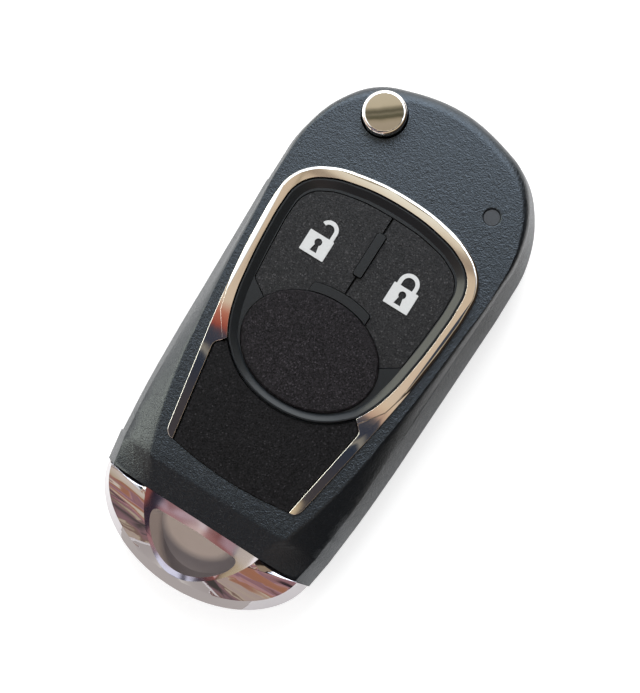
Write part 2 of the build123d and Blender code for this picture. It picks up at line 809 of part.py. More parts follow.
# Plated bezel: a raised bead round the buttons that runs out into two flat legs
with BuildPart() as chrome_bezel:
    with BuildSketch() as trim:
        add(bezel_outline())
        add(frame_outline(bead_gap), mode=Mode.SUBTRACT)
        add(panel_zone(panel_gap), mode=Mode.SUBTRACT)
    with BuildSketch() as bead:
        add(trim.sketch)
        add(bead_zone(), mode=Mode.INTERSECT)
    prism(trim.sketch, pocket_floor_z, leg_top_z)
    prism(bead.sketch, pocket_floor_z, bezel_top_z)
    # the bead's outer edge is well rounded, its inner edge stays crisp
    rim_wire = bezel_outline().face().outer_wire()
    bead_top = chrome_bezel.edges().group_by(Axis.Z)[-1]
    outer_edges = [
        edge for edge in bead_top
        if rim_wire.distance_to(Vertex((edge @ 0.5).X, (edge @ 0.5).Y, 0)) < 0.01
    ]
    fillet(outer_edges, bead_soft_r)
chrome_bezel.part.label = "chrome_bezel"
export_step(chrome_bezel.part, "parts/chrome_bezel.step")

# Dark inner frame: rim inside the bead, ring below the oval plate, tray under
# the plate, and the bar and bump between the buttons on a thin web
with BuildPart() as button_frame:
    with BuildSketch() as rim:
        add(frame_outline())
        add(button_field(button_gap), mode=Mode.SUBTRACT)
        add(plate_outline(plate_gap), mode=Mode.SUBTRACT)
    prism(rim.sketch, pocket_floor_z, frame_rim_z)
    # the rim falls from a crest near its outer edge to a low flat by the buttons
    crest = Plane.XY.offset(frame_rim_z) * frame_outline(-crest_in)
    low_flat = Plane.XY.offset(frame_low_z) * frame_outline(-slope_in)
    loft([low_flat.face(), crest.face()], ruled=True, mode=Mode.SUBTRACT)
    with BuildSketch() as tray:
        add(frame_outline(-seat_ledge_w - 0.15))
        with Locations((0, 0.8)):
            Rectangle(wide, wide, align=(Align.CENTER, Align.MAX), mode=Mode.INTERSECT)
        add(plate_outline(-0.3))
    prism(tray.sketch, plate_seat_z - 1, plate_seat_z)
    prism(islands(), web_z[0], island_top_z)
    block(-web_w / 2, web_w / 2, 0, frame_top_y - seat_ledge_w - 0.2, *web_z)
    block(
        -web_w / 2, web_w / 2, button_top_y + button_gap + 0.1, frame_top_y - seat_ledge_w - 0.2,
        web_z[0], pocket_floor_z + 0.2,
    )
button_frame.part.label = "button_frame"
export_step(button_frame.part, "parts/button_frame.step")

# Left button with the open padlock
with BuildPart() as unlock_button:
    button_body(-1, unlock_mark)
unlock_button.part.label = "unlock_button"
export_step(unlock_button.part, "parts/unlock_button.step")

with BuildPart() as unlock_icon:
    prism(unlock_mark, button_top_z - icon_t, button_top_z)
unlock_icon.part.label = "unlock_icon"
export_step(unlock_icon.part, "parts/unlock_icon.step")

# Right button with the closed padlock
with BuildPart() as lock_button:
    button_body(1, lock_mark)
lock_button.part.label = "lock_button"
export_step(lock_button.part, "parts/lock_button.step")

with BuildPart() as lock_icon:
    prism(lock_mark, button_top_z - icon_t, button_top_z)
lock_icon.part.label = "lock_icon"
export_step(lock_icon.part, "parts/lock_icon.step")

# Blank oval plate that lies in the frame's tray
with BuildPart() as emblem_plate:
    prism(plate_outline(), plate_seat_z, plate_top_z)
    chamfer(emblem_plate.faces().sort_by(Axis.Z)[-1].edges(), plate_edge)
emblem_plate.part.label = "emblem_plate"
export_step(emblem_plate.part, "parts/emblem_plate.step")

# Lower panel between the bezel's legs
with BuildPart() as lower_panel:
    prism(panel_outline(), pocket_floor_z, panel_top_z)
lower_panel.part.label = "lower_panel"
export_step(lower_panel.part, "parts/lower_panel.step")

# Light guide from the lamp on the board to the dimple in the face
with BuildPart() as indicator_lens:
    round_bar(*lens_place, lens_stem_r, board_z[1] + led_size[2], lens_flange_z[0])
    round_bar(*lens_place, lens_flange_r, *lens_flange_z)
    round_bar(*lens_place, lens_r, lens_flange_z[1], face_z - lens_sink)
indicator_lens.part.label = "indicator_lens"
export_step(indicator_lens.part, "parts/indicator_lens.step")

with BuildPart() as indicator_led:
    block(*around(lens_place, led_size), board_z[1], board_z[1] + led_size[2])
indicator_led.part.label = "indicator_led"
export_step(indicator_led.part, "parts/indicator_led.step")

# Hub: foot in the rear shell, disc with the blade arm, collar in the front shell,
# bore for the release button with flats so that the two turn together
with BuildPart() as pivot_hub:
    round_bar(pivot_x, pivot_y, hub_foot_r, hub_foot_z, hub_arm_z[0])
    round_bar(pivot_x, pivot_y, hub_disc_r, *hub_arm_z)
    with BuildSketch() as arm:
        with BuildLine():
            Polyline(*arm_corners(0), close=True)
        make_face()
        fillet(arm.vertices().filter_by(lambda v: v.Y < pivot_y - 1), arm_round)
    prism(arm.sketch, *hub_arm_z)
    round_bar(pivot_x, pivot_y, hub_top_r, hub_arm_z[1], hub_top_z)
    prism(double_flat(release_skirt_r, flat_w, run_gap), hub_bore_floor_z, hub_flats_top_z, Mode.SUBTRACT)
    round_bar(pivot_x, pivot_y, release_r + run_gap, hub_flats_top_z, hub_round_top_z, Mode.SUBTRACT)
    round_bar(pivot_x, pivot_y, lug_r + run_gap, hub_round_top_z, hub_top_z, Mode.SUBTRACT)
    # slot for the blade's root, and the pin across it
    block(*root_x, pivot_y - arm_end, pivot_y - blade_root, *blade_z_range, Mode.SUBTRACT)
    round_bar(*pin_place, pin_r, *hub_arm_z, Mode.SUBTRACT)
pivot_hub.part.label = "pivot_hub"
export_step(pivot_hub.part, "parts/pivot_hub.step")

# Blade, folded: root in the hub's arm, two grooves, blunt point
with BuildPart() as key_blade:
    near_x = pivot_x - blade_side[0]
    far_x = pivot_x - blade_side[1]
    tip_y = pivot_y - blade_tip
    with BuildSketch() as blade:
        with BuildLine():
            Polyline(
                (near_x, pivot_y - arm_end), (near_x, tip_y + blade_point[1]),
                (near_x - blade_point[0], tip_y), (far_x + blade_point[0], tip_y),
                (far_x, tip_y + blade_point[1]), (far_x, pivot_y - arm_end), close=True,
            )
        make_face()
    prism(blade.sketch, *blade_z_range)
    block(*root_x, pivot_y - arm_end, pivot_y - blade_root, *blade_z_range)
    for at, z in zip(blade_groove_at, (blade_z_range[1] - blade_groove_d, blade_z_range[0] - 1)):
        block(
            pivot_x - at - blade_groove_w / 2, pivot_x - at + blade_groove_w / 2,
            tip_y - 1, pivot_y - blade_groove_start, z, z + 1 + blade_groove_d, Mode.SUBTRACT,
        )
    round_bar(*pin_place, pin_r, *blade_z_range, Mode.SUBTRACT)
key_blade.part.label = "key_blade"
export_step(key_blade.part, "parts/key_blade.step")

with BuildPart() as blade_pin:
    round_bar(*pin_place, pin_r, *hub_arm_z)
blade_pin.part.label = "blade_pin"
export_step(blade_pin.part, "parts/blade_pin.step")

# Release button: head through the case, lugs under it, flats in the hub's bore
with BuildPart() as release_button:
    round_bar(pivot_x, pivot_y, release_r, release_skirt_z[1], release_top_z)
    fillet(release_button.faces().sort_by(Axis.Z)[-1].edges(), release_soft_r)
    prism(double_flat(lug_r, lug_w, 0), *lug_z)
    prism(double_flat(release_skirt_r, flat_w, 0), *release_skirt_z)
    round_bar(pivot_x, pivot_y, release_bore_r, release_skirt_z[0], release_bore_top_z, Mode.SUBTRACT)
release_button.part.label = "release_button"
export_step(release_button.part, "parts/release_button.step")

# Coil spring inside hub and release button
with BuildPart() as flip_spring:
    coil_rise = release_bore_top_z - hub_bore_floor_z - 2 * spring_wire_r
    with BuildLine() as coil:
        Helix(
            coil_rise / spring_turns, coil_rise, spring_r,
            center=(pivot_x, pivot_y, hub_bore_floor_z + spring_wire_r),
        )
    with BuildSketch(Plane(origin=coil.line @ 0, z_dir=coil.line % 0)):
        Circle(spring_wire_r)
    sweep(path=coil.line, is_frenet=True)
flip_spring.part.label = "flip_spring"
export_step(flip_spring.part, "parts/flip_spring.step")
print("least gap between coils", round(coil_rise / spring_turns - 2 * spring_wire_r, 2))

# Rubber sheet between buttons and switches, standing on the board on its rim
with BuildPart() as keypad_membrane:
    pad_w = pad_box[1] - pad_box[0]
    pad_h = pad_box[3] - pad_box[2]
    pad_centre = ((pad_box[0] + pad_box[1]) / 2, (pad_box[2] + pad_box[3]) / 2)
    with BuildSketch() as pad_sheet:
        with Locations(pad_centre):
            RectangleRounded(pad_w, pad_h, pad_round)
    with BuildSketch() as pad_wall:
        add(pad_sheet.sketch)
        with Locations(pad_centre):
            RectangleRounded(
                pad_w - 2 * pad_rim_w, pad_h - 2 * pad_rim_w, pad_round - pad_rim_w, mode=Mode.SUBTRACT,
            )
    prism(pad_sheet.sketch, plunger_top_z, plunger_top_z + pad_t)
    prism(pad_wall.sketch, board_z[1], plunger_top_z)
keypad_membrane.part.label = "keypad_membrane"
export_step(keypad_membrane.part, "parts/keypad_membrane.step")

with BuildPart() as circuit_board:
    prism(board_outline(), *board_z)
circuit_board.part.label = "circuit_board"
export_step(circuit_board.part, "parts/circuit_board.step")

# Tactile switches on the board, one under each button
with BuildPart() as unlock_switch:
    switch(*switch_places[0])
unlock_switch.part.label = "unlock_switch"
export_step(unlock_switch.part, "parts/unlock_switch.step")

with BuildPart() as lock_switch:
    switch(*switch_places[1])
lock_switch.part.label = "lock_switch"
export_step(lock_switch.part, "parts/lock_switch.step")

with BuildPart() as remote_chip:
    block(*around(remote_chip_place, remote_chip_size), board_z[1], board_z[1] + remote_chip_size[2])
remote_chip.part.label = "remote_chip"
export_step(remote_chip.part, "parts/remote_chip.step")

# Coin cell between a bent strip below and a plate under the board above
with BuildPart() as coin_cell:
    round_bar(*cell_place, cell_foot_r, cell_foot_z, cell_foot_z + cell_foot_h)
    round_bar(*cell_place, cell_r, cell_foot_z + cell_foot_h, cell_top_z)
coin_cell.part.label = "coin_cell"
export_step(coin_cell.part, "parts/coin_cell.step")

with BuildPart() as battery_contact:
    strip_x = (cell_x - contact_w / 2, cell_x + contact_w / 2)
    block(
        *strip_x, cell_y - cell_r / 2 - rib_t / 2, contact_end_y,
        cell_foot_z - contact_t, cell_foot_z,
    )
    block(*strip_x, contact_end_y - contact_t, contact_end_y, cell_foot_z - contact_t, board_seat_z)
battery_contact.part.label = "battery_contact"
export_step(battery_contact.part, "parts/battery_contact.step")

with BuildPart() as battery_clip:
    clip_x = (cell_x - clip_size[0] / 2, cell_x + clip_size[0] / 2)
    clip_y = (cell_y - clip_size[1] / 2, cell_y + clip_size[1] / 2)
    block(*clip_x, *clip_y, cell_top_z, cell_top_z + contact_t)
    for leg_x in (clip_x[0], clip_x[1] - clip_leg_w):
        block(leg_x, leg_x + clip_leg_w, *clip_y, cell_top_z, board_seat_z)
battery_clip.part.label = "battery_clip"
export_step(battery_clip.part, "parts/battery_clip.step")

# Transponder block in its fence on the rear shell's floor
with BuildPart() as transponder_chip:
    block(*around(chip_place, chip_size), floor_z, floor_z + chip_size[2])
    chamfer(transponder_chip.edges().filter_by(Axis.Z), chip_edge)
transponder_chip.part.label = "transponder_chip"
export_step(transponder_chip.part, "parts/transponder_chip.step")
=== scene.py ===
import math

import bmesh
import bpy
from mathutils import Matrix, Vector
from mathutils.kdtree import KDTree


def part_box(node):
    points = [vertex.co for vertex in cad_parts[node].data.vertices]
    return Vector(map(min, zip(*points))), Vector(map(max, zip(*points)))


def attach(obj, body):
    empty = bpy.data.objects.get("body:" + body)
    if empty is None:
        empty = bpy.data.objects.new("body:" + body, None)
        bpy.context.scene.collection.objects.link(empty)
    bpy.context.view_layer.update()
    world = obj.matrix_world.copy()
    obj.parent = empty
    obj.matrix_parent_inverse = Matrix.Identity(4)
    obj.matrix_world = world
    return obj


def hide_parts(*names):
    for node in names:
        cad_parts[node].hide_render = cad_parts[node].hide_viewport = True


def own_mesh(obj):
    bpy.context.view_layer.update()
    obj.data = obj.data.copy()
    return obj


# The dressed flip key. Lengths are in metres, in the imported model's frame: +X runs towards the
# lock button, +Y towards the pivot end, and +Z comes out of the button face.
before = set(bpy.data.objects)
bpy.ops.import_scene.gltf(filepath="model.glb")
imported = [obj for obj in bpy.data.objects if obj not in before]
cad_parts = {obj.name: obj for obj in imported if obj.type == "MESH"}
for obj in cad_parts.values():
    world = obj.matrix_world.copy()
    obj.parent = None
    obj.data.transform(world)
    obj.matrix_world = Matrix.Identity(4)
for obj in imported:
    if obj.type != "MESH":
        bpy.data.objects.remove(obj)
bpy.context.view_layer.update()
scene = bpy.context.scene
MM = 0.001

# Angles of the mesh work, in degrees: faces that count as one plane, slopes that are averaged,
# and how far two faces have to lean apart for the edge between them to be rounded
PLANE_ANGLE = 0.6
FINE_PLANE_ANGLE = 0.05
SMOOTH_LEAN = 18
CAP_RIDGE = 14
BUTTON_EDGE = 35
SHARP_EDGE = 50
SHELL_EDGE = 55

# Heights in mm, just under the tops whose edges are rounded
SHELL_TOP = 14
FRAME_TOP = 14.1
BUTTON_TOP = 14.2
PLATE_TOP = 14.3
TRIM_FLAT = (14.5, 14.6)
BEAD_TOP = 15.1

WELD_REACH = 2e-6
SMOOTH_REACH = 1.5 * MM
NORMAL_WEIGHT = 90


# Meshes
def merged(node, plane_angle=PLANE_ANGLE):
    """A mesh of a CAD node with its loose triangles joined and its flat faces made whole."""
    bm = bmesh.new()
    bm.from_mesh(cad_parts[node].data)
    bmesh.ops.remove_doubles(bm, verts=bm.verts, dist=WELD_REACH)
    bmesh.ops.dissolve_limit(
        bm, angle_limit=math.radians(plane_angle), verts=bm.verts, edges=bm.edges)
    return bm


def finish_piece(bm, name, body, slot, material, crease, *nodes, weighted=True):
    """Turns a bmesh into a piece that rides on a body and stands for its CAD nodes."""
    mesh = bpy.data.meshes.new(name)
    bm.to_mesh(mesh)
    bm.free()
    for face in mesh.polygons:
        face.use_smooth = True
    mesh.set_sharp_from_angle(angle=math.radians(crease))
    piece = bpy.data.objects.new(name, mesh)
    scene.collection.objects.link(piece)
    mesh.materials.append(material)
    if weighted:
        even = piece.modifiers.new("even_shading", "WEIGHTED_NORMAL")
        even.keep_sharp = True
        even.weight = NORMAL_WEIGHT
    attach(piece, body)
    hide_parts(*nodes)
    return piece


def even_normals(mesh):
    """Sets corner normals averaged over the nearby faces that lean almost the same way."""
    centres = KDTree(len(mesh.polygons))
    for face in mesh.polygons:
        centres.insert(face.center, face.index)
    centres.balance()
    least = math.cos(math.radians(SMOOTH_LEAN))
    normals = []
    for face in mesh.polygons:
        for index in face.vertices:
            total = face.normal * face.area
            for _, other, _ in centres.find_range(mesh.vertices[index].co, SMOOTH_REACH):
                near = mesh.polygons[other]
                if near.normal.dot(face.normal) > least:
                    total = total + near.normal * near.area
            normals.append(total.normalized())
    mesh.normals_split_custom_set(normals)


def anywhere(middle):
    """The test that every edge passes."""
    return True


def above(height):
    """A test for an edge whose middle lies above a height in mm."""
    return lambda middle: middle.z > height * MM


def between(low, high):
    """A test for an edge whose middle lies between two heights in mm."""
    return lambda middle: low * MM < middle.z < high * MM


def soften(bm, angle, test, width, segments=3):
    """Rounds the edges that pass a test and whose faces meet at more than an angle, over a width
    in mm."""
    limit = math.radians(angle)
    edges = [
        edge for edge in bm.edges
        if len(edge.link_faces) == 2 and edge.calc_face_angle(0) > limit
        and test((edge.verts[0].co + edge.verts[1].co) / 2)
    ]
    bmesh.ops.bevel(
        bm, geom=edges, offset=width * MM, offset_type="OFFSET", segments=segments, profile=0.5,
        affect="EDGES", clamp_overlap=True, material=-1, loop_slide=True)


# Nodes
def feed(tree, socket, value):
    """Links an output to a socket, or sets a number or a colour on it."""
    if isinstance(value, bpy.types.NodeSocket):
        tree.links.new(value, socket)
    else:
        socket.default_value = (*value, 1.0) if isinstance(value, tuple) else value


def object_place(tree):
    """The object's own coordinates."""
    return tree.nodes.new("ShaderNodeTexCoord").outputs["Object"]


def noise_value(tree, place, size, detail, rough=0.5, wander=0.0):
    """A noise with features of a size in metres."""
    node = tree.nodes.new("ShaderNodeTexNoise")
    node.inputs["Scale"].default_value = 1.0 / size
    node.inputs["Detail"].default_value = detail
    node.inputs["Roughness"].default_value = rough
    node.inputs["Distortion"].default_value = wander
    tree.links.new(place, node.inputs["Vector"])
    return node.outputs["Fac"]


def ramp(tree, source, stops):
    """The colour that a value picks from a row of stops."""
    node = tree.nodes.new("ShaderNodeValToRGB")
    while len(node.color_ramp.elements) < len(stops):
        node.color_ramp.elements.new(1.0)
    for element, (at, colour) in zip(node.color_ramp.elements, stops):
        element.position = at
        element.color = (*colour, 1.0)
    tree.links.new(source, node.inputs["Fac"])
    return node.outputs["Color"]


def bands(tree, source, span, *stops):
    """Colours along a coordinate, each at its own place in a span."""
    low, high = span
    fit = tree.nodes.new("ShaderNodeMapRange")
    fit.inputs["From Min"].default_value = low
    fit.inputs["From Max"].default_value = high
    tree.links.new(source, fit.inputs["Value"])
    return ramp(
        tree, fit.outputs["Result"],
        [((at - low) / (high - low), colour) for at, colour in stops])


def grey(value):
    """A neutral colour."""
    return (value, value, value)


def mask(tree, source, span, *stops):
    """A share from 0 to 1 along a coordinate."""
    return bands(tree, source, span, *((at, grey(share)) for at, share in stops))


def computed(tree, operation, *values):
    """The result of a math node on outputs and numbers."""
    node = tree.nodes.new("ShaderNodeMath")
    node.operation = operation
    for socket, value in zip(node.inputs, values):
        feed(tree, socket, value)
    return node.outputs["Value"]


def mixed(tree, share, first, second, blend="MIX"):
    """The second colour where the share is 1, the first where it is 0."""
    node = tree.nodes.new("ShaderNodeMix")
    node.data_type = "RGBA"
    node.blend_type = blend
    feed(tree, node.inputs["Factor"], share)
    feed(tree, node.inputs["A"], first)
    feed(tree, node.inputs["B"], second)
    return node.outputs["Result"]


# Materials
class Paint:
    """A node material: a Principled shader and short ways to add what drives it."""

    def __init__(self, name, colour, roughness, metallic=0.0, specular=0.5):
        self.material = bpy.data.materials.new(name)
        self.material.use_nodes = True
        self.tree = self.material.node_tree
        self.shader = self.tree.nodes["Principled BSDF"]
        self.set("Base Color", (*colour, 1.0))
        self.set("Roughness", roughness)
        self.set("Metallic", metallic)
        self.set("Specular IOR Level", specular)
        self.place = object_place(self.tree)

    def set(self, socket, value):
        """Sets a uniform value."""
        self.shader.inputs[socket].default_value = value

    def noise(self, size, detail, rough=0.55, wander=0.0):
        """A noise with features of a size in mm."""
        return noise_value(self.tree, self.place, size * MM, detail, rough, wander)

    def vary(self, socket, source, *stops):
        """Lets a noise move a socket's value through some stops."""
        self.tree.links.new(ramp(self.tree, source, stops), self.shader.inputs[socket])

    def bump(self, source, depth, strength=1.0):
        """Lets a noise raise and lower the surface by a depth in mm."""
        node = self.tree.nodes.new("ShaderNodeBump")
        node.inputs["Distance"].default_value = depth * MM
        node.inputs["Strength"].default_value = strength
        self.tree.links.new(source, node.inputs["Height"])
        self.tree.links.new(node.outputs["Normal"], self.shader.inputs["Normal"])


def moulded_shell():
    """Charcoal plastic with a fine leather-like grain."""
    paint = Paint("charcoal_grain", (0.01, 0.011, 0.013), 0.42, specular=0.6)
    paint.set("Specular Tint", (0.82, 0.91, 1.0, 1.0))
    grain = paint.noise(0.37, 1.5, rough=0.5, wander=1.4)
    paint.bump(grain, 0.08)
    paint.vary("Roughness", grain, (0.35, grey(0.38)), (0.65, grey(0.3)))
    paint.vary(
        "Base Color", grain, (0.3, (0.002, 0.0026, 0.0038)), (0.7, (0.005, 0.0065, 0.0088)))
    return paint.material


def flaked(name, base, flake, size, share, roughness, depth, specular):
    """Dark plastic with small pale flakes in it. Size and depth are in mm."""
    paint = Paint(name, base, roughness, specular=specular)
    cells = paint.tree.nodes.new("ShaderNodeTexVoronoi")
    cells.inputs["Scale"].default_value = 1.0 / (size * MM)
    paint.tree.links.new(paint.place, cells.inputs["Vector"])
    middle = tuple((low * 2.0 + high) / 3.0 for low, high in zip(base, flake))
    paint.vary(
        "Base Color", cells.outputs["Color"], (0.1, base), (1.0 - share, middle), (0.95, flake))
    paint.bump(paint.noise(size * 1.6, 1.5), depth)
    return paint.material


def plated(name, colour, roughness, waviness, smear):
    """Polished plating with the faint waviness, in mm, of a moulded part."""
    paint = Paint(name, colour, roughness, metallic=1.0)
    paint.bump(paint.noise(6.0, 1.0), waviness)
    paint.vary(
        "Roughness", paint.noise(1.5, 2.0), (0.3, grey(roughness)), (0.8, grey(roughness + smear)))
    return paint.material


def plain_plastic(name, colour, roughness, specular=0.4, uneven=0.12):
    """Moulded plastic with a faint texture."""
    paint = Paint(name, colour, roughness, specular=specular)
    texture = paint.noise(0.3, 2.0)
    paint.bump(texture, 0.01, 0.5)
    low = tuple(c * (1.0 - uneven) for c in colour)
    high = tuple(c * (1.0 + uneven) for c in colour)
    paint.vary("Base Color", texture, (0.3, low), (0.7, high))
    return paint.material


def brushed(name, colour, roughness):
    """Steel with fine lines along the key."""
    paint = Paint(name, colour, roughness, metallic=1.0)
    stretch = paint.tree.nodes.new("ShaderNodeMapping")
    stretch.inputs["Scale"].default_value = (1.0, 0.04, 1.0)
    paint.tree.links.new(paint.place, stretch.inputs["Vector"])
    paint.place = stretch.outputs["Vector"]
    lines = paint.noise(0.15, 2.0)
    paint.bump(lines, 0.004, 0.5)
    paint.vary(
        "Roughness", lines, (0.3, grey(roughness - 0.06)), (0.7, grey(roughness + 0.08)))
    paint.vary("Base Color", lines, (0.35, tuple(c * 0.6 for c in colour)), (0.65, colour))
    return paint.material


shell_grain = moulded_shell()
button_black = flaked(
    "button_black", (0.002, 0.002, 0.0025), (0.065, 0.063, 0.065),
    size=0.17, share=0.2, roughness=0.42, depth=0.045, specular=0.17)
plate_flake = flaked(
    "plate_flake", (0.001, 0.0008, 0.001), (0.055, 0.048, 0.055),
    size=0.16, share=0.22, roughness=0.42, depth=0.05, specular=0.1)
panel_flake = flaked(
    "panel_flake", (0.001, 0.001, 0.0012), (0.034, 0.032, 0.035),
    size=0.17, share=0.16, roughness=0.4, depth=0.04, specular=0.1)
frame_satin = plain_plastic("frame_satin", (0.008, 0.01, 0.012), 0.3, specular=0.36)
icon_grey = plain_plastic("icon_grey", (0.61, 0.62, 0.62), 0.5, uneven=0.03)
cap_chrome = plated("cap_chrome", (0.42, 0.39, 0.405), 0.03, waviness=0.02, smear=0.02)
bezel_chrome = plated("bezel_chrome", (0.94, 0.91, 0.88), 0.03, waviness=0.003, smear=0.02)
button_chrome = plated("button_chrome", (0.94, 0.92, 0.89), 0.015, waviness=0.0015, smear=0.01)
lens_smoke = plain_plastic("lens_smoke", (0.03, 0.034, 0.04), 0.3, specular=0.6)
hub_black = plain_plastic("hub_black", (0.015, 0.015, 0.016), 0.4)
blade_steel = brushed("blade_steel", (0.27, 0.27, 0.27), 0.3)
screw_black = brushed("screw_black", (0.18, 0.18, 0.19), 0.35)
spring_steel = brushed("spring_steel", (0.5, 0.5, 0.51), 0.3)
cell_steel = brushed("cell_steel", (0.66, 0.66, 0.67), 0.25)
contact_gold = brushed("contact_gold", (0.7, 0.55, 0.28), 0.3)
rubber_grey = plain_plastic("rubber_grey", (0.08, 0.08, 0.085), 0.8, specular=0.3)
board_green = plain_plastic("board_green", (0.01, 0.09, 0.035), 0.35)
chip_black = plain_plastic("chip_black", (0.02, 0.02, 0.02), 0.5)
lamp_cream = plain_plastic("lamp_cream", (0.7, 0.62, 0.4), 0.3)

# Carried-over CAD nodes only get their material
for node, material in {
    "indicator_led": lamp_cream,
    "keypad_membrane": rubber_grey,
    "circuit_board": board_green,
    "unlock_switch": chip_black,
    "lock_switch": chip_black,
    "remote_chip": chip_black,
    "coin_cell": cell_steel,
    "battery_contact": contact_gold,
    "battery_clip": contact_gold,
    "transponder_chip": chip_black,
    "blade_pin": screw_black,
    "unlock_icon": icon_grey,
    "lock_icon": icon_grey,
    "pivot_hub": hub_black,
    "indicator_lens": lens_smoke,
    "lower_screw": screw_black,
    "head_screw": screw_black,
}.items():
    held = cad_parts[node].data.materials
    held.clear()
    held.append(material)

# Case halves: the banded rounding is shaded smooth, and real edges stay crisp
lens_low, lens_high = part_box("indicator_lens")
lens_middle = ((lens_low + lens_high) / 2).xy
DIMPLE_REACH = 1.6 * MM
DIMPLE_CLEAR = 1.8 * MM


def round_dimple(middle):
    """The test for the mouth of the hole that holds the light guide."""
    return middle.z > SHELL_TOP * MM and (middle.xy - lens_middle).length < DIMPLE_REACH


def off_dimple(middle):
    """The test for every edge away from the light guide."""
    return (middle.xy - lens_middle).length > DIMPLE_CLEAR


front = merged("front_shell")
soften(front, SHELL_EDGE, round_dimple, 0.24)
soften(front, SHELL_EDGE, off_dimple, 0.1, segments=2)
finish_piece(front, "front_case", "case", "shell", shell_grain, 28, "front_shell")

rear = merged("rear_shell")
finish_piece(rear, "rear_case", "case", "shell", shell_grain, 40, "rear_shell")

# Plating: the cap's ridges are rounded a little, and so are the bead's top and the legs' flat
cap = merged("end_cap")
soften(cap, CAP_RIDGE, anywhere, 0.12, segments=2)
finish_piece(cap, "plated_cap", "case", "cap_plating", cap_chrome, 35, "end_cap")

bezel = merged("chrome_bezel")
soften(bezel, SHARP_EDGE, above(BEAD_TOP), 0.12, segments=2)
soften(bezel, SHARP_EDGE, between(*TRIM_FLAT), 0.18, segments=2)
finish_piece(bezel, "plated_bezel", "case", "bezel_plating", bezel_chrome, 62, "chrome_bezel")

# The frame's slopes are many narrow bands, so its normals are averaged instead of weighted
inner_frame = merged("button_frame", FINE_PLANE_ANGLE)
soften(inner_frame, SHARP_EDGE, above(FRAME_TOP), 0.13)
satin = finish_piece(
    inner_frame, "satin_frame", "case", "frame", frame_satin, 35, "button_frame", weighted=False)
even_normals(satin.data)

# What lies inside the frame: only the edges at the top are rounded
for node, body in (("unlock_button", "unlock"), ("lock_button", "lock")):
    pressed = merged(node)
    soften(pressed, BUTTON_EDGE, above(BUTTON_TOP), 0.13)
    finish_piece(pressed, node + "_top", body, "button", button_black, 30, node)

plate = merged("emblem_plate")
soften(plate, SHARP_EDGE, above(PLATE_TOP), 0.12)
finish_piece(plate, "oval_plate", "case", "sparkle_plate", plate_flake, 30, "emblem_plate")

panel = merged("lower_panel")
soften(panel, SHARP_EDGE, above(PLATE_TOP), 0.14)
finish_piece(panel, "flake_panel", "case", "panel", panel_flake, 35, "lower_panel")

knob = merged("release_button")
finish_piece(knob, "release_top", "release", "release", button_chrome, 30, "release_button")

blade = merged("key_blade")
soften(blade, SHARP_EDGE, anywhere, 0.12, segments=2)
finish_piece(blade, "blade_blank", "blade_arm", "blade", blade_steel, 35, "key_blade")

# The spring under the release button rides on the blade arm, with a mesh of its own
coil = merged("flip_spring")
squeezed = finish_piece(
    coil, "coil_spring", "blade_arm", "spring", spring_steel, 40, "flip_spring")
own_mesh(squeezed)

# Camera, placed from the fit to the photograph: angles, distance, and pixels per metre
TILT_X, TILT_Y, ROLL = math.radians(5.7), math.radians(3.0), math.radians(32.29)
DISTANCE = 0.2
PIXELS_PER_METRE = 7242.0
PICTURE_WIDTH = 640.0
SHIFT_RIGHT, SHIFT_UP = 8.61, -0.33
SENSOR_WIDTH = 36.0
target = Vector((0.0, -0.7 * MM, 15.3 * MM))
back = Vector((math.tan(TILT_X), -math.tan(TILT_Y), 1.0)).normalized()
right = Vector((0, 1, 0)).cross(back).normalized()
up = back.cross(right)
photo_right = right * math.cos(ROLL) + up * math.sin(ROLL)
photo_up = up * math.cos(ROLL) - right * math.sin(ROLL)
place = (
    target + back * DISTANCE + photo_right * (SHIFT_RIGHT / PIXELS_PER_METRE)
    + photo_up * (SHIFT_UP / PIXELS_PER_METRE))
camera_data = bpy.data.cameras.new("camera")
camera_data.sensor_fit = "HORIZONTAL"
camera_data.sensor_width = SENSOR_WIDTH
camera_data.lens = PIXELS_PER_METRE * DISTANCE / PICTURE_WIDTH * SENSOR_WIDTH
camera_data.clip_start = 0.005
camera_data.clip_end = 20.0
camera = bpy.data.objects.new("camera", camera_data)
scene.collection.objects.link(camera)
scene.camera = camera
turn = Matrix((photo_right, photo_up, back)).transposed().to_4x4()
camera.matrix_world = Matrix.Translation(place) @ turn


# Studio: white paper that keeps the shadow, soft lamps, and boards for the plating to mirror
def grid_mesh(name, width, height):
    """A flat rectangle."""
    bm = bmesh.new()
    bmesh.ops.create_grid(bm, x_segments=1, y_segments=1, size=0.5)
    bmesh.ops.scale(bm, vec=(width, height, 1.0), verts=bm.verts)
    mesh = bpy.data.meshes.new(name)
    bm.to_mesh(mesh)
    bm.free()
    return mesh


def facing(direction):
    """The rotation that turns local +Z to a direction."""
    return Vector(direction).to_track_quat("Z", "Y")


def glow(name, colour, strength):
    """A material that only gives light. The colour may be a function that adds nodes."""
    material = bpy.data.materials.new(name)
    material.use_nodes = True
    tree = material.node_tree
    tree.nodes.clear()
    out = tree.nodes.new("ShaderNodeOutputMaterial")
    light = tree.nodes.new("ShaderNodeEmission")
    light.inputs["Strength"].default_value = strength
    feed(tree, light.inputs["Color"], colour(tree) if callable(colour) else colour)
    tree.links.new(light.outputs["Emission"], out.inputs["Surface"])
    return material


def card(name, centre, normal, width, height, colour, strength=1.0):
    """A studio card, seen only in reflections."""
    mesh = grid_mesh(name, width, height)
    mesh.materials.append(glow(name, colour, strength))
    board = bpy.data.objects.new(name, mesh)
    scene.collection.objects.link(board)
    board.location = centre
    board.rotation_mode = "QUATERNION"
    board.rotation_quaternion = facing(normal)
    board.visible_camera = False
    board.visible_diffuse = False
    board.visible_shadow = False


